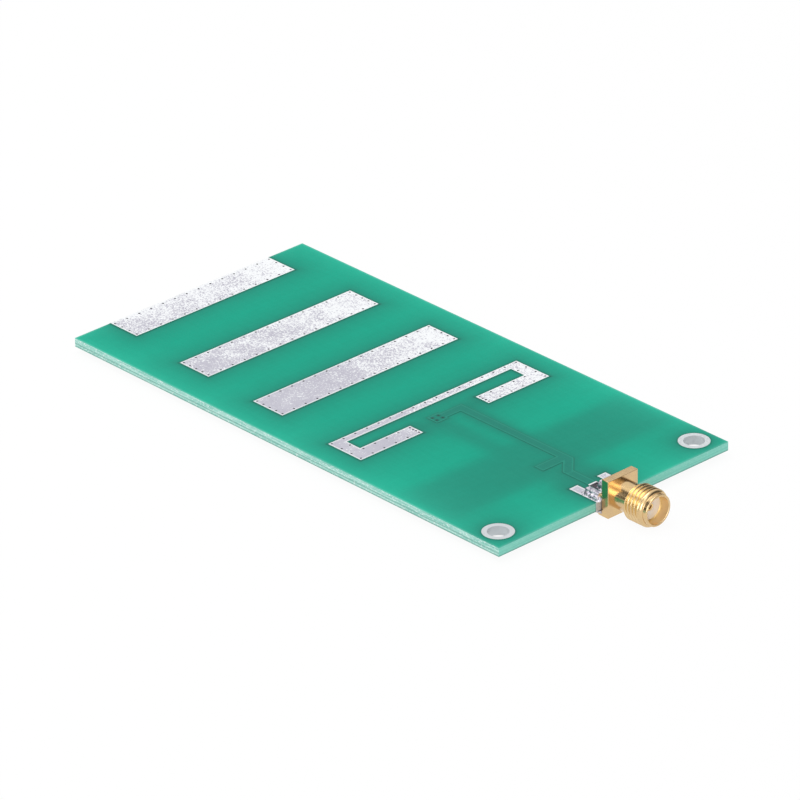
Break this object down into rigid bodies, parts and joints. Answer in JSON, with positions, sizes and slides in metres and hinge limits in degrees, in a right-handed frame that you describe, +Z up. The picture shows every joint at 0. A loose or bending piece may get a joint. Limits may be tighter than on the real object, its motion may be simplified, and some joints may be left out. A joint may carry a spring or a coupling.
{
  "type": "printed directional antenna",
  "caption": "Flat directional antenna etched on a green circuit board, with tinned strips, a folded dipole and a threaded coaxial jack soldered to one short edge.",
  "frame": {"origin": "on the board's underside, midway between the two mounting holes", "axes": "+X along the board towards the jack's mouth, +Y to the left seen from above with the jack ahead, +Z up from the board's printed face"},
  "size_m": [0.1096, 0.05, 0.0065],
  "materials": {
    "laminate": "sawn glass fibre laminate, pale green",
    "solder_mask": "satin green lacquer, slightly see-through",
    "tinned_copper": "mottled bright hot-dipped tin",
    "gold_plating": "bright gold plating on turned brass",
    "insulator": "waxy white fluoropolymer",
    "solder": "bright lumpy solder"
  },
  "bodies": {
    "root": {"board": "laminate", "mask_top": "solder_mask", "mask_bottom": "solder_mask", "director_near_top": "tinned_copper", "director_near_bottom": "tinned_copper", "director_middle_top": "tinned_copper", "director_middle_bottom": "tinned_copper", "director_far_top": "tinned_copper", "director_far_bottom": "tinned_copper", "driven_element_top": "tinned_copper", "feed_line": "tinned_copper", "back_copper": "tinned_copper", "feed_vias": "tinned_copper", "hole_plating_left": "tinned_copper", "hole_plating_right": "tinned_copper", "leg_pad_left": "tinned_copper", "leg_pad_right": "tinned_copper", "jack_body": "gold_plating", "jack_contact": "gold_plating", "jack_insulator": "insulator", "pin_solder": "solder", "leg_solder_top_left": "solder", "leg_solder_top_right": "solder", "leg_solder_bottom_left": "solder", "leg_solder_bottom_right": "solder"}
  },
  "joints": []
}
